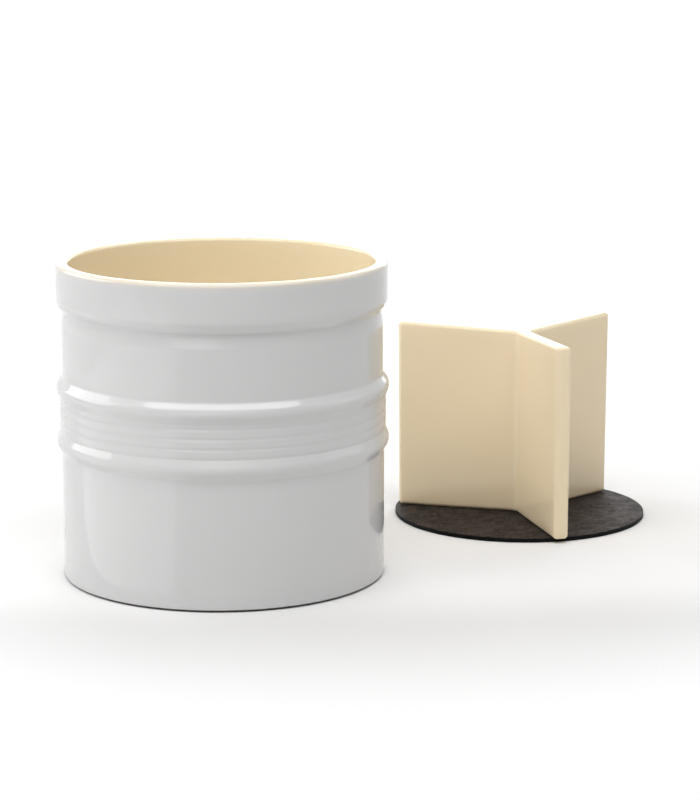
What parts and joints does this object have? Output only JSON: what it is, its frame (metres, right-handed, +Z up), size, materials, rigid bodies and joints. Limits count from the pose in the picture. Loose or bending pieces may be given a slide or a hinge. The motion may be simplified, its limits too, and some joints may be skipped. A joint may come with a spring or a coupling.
{
  "type": "utensil crock",
  "caption": "Cylindrical glazed stoneware utensil crock with banded wall and collar, standing beside its loose winged divider on a thin round non-slip pad.",
  "frame": {"origin": "centre of the crock's foot, on the surface that the pieces stand on", "axes": "+Z up, +X towards the side where the divider and its pad stand, +Y away from the viewer"},
  "size_m": [0.3139, 0.2786, 0.1619],
  "materials": {
    "stoneware_glaze": "gloss white glaze outside, gloss cream glaze inside, bare foot ring",
    "cream_glaze": "gloss cream glaze all over",
    "pad_rubber": "matt charcoal rubber with light flecks"
  },
  "bodies": {
    "crock": {"crock": "stoneware_glaze"},
    "pad": {"non_slip_pad": "pad_rubber"},
    "divider": {"divider": "cream_glaze"}
  },
  "joints": [
    {"name": "pad_lift", "type": "slide", "parent": "crock", "child": "pad", "axis": [0, 0, 1], "range_m": [0, 0.17]},
    {"name": "divider_lift", "type": "slide", "parent": "pad", "child": "divider", "axis": [0, 0, 1], "range_m": [0, 0.17]}
  ]
}
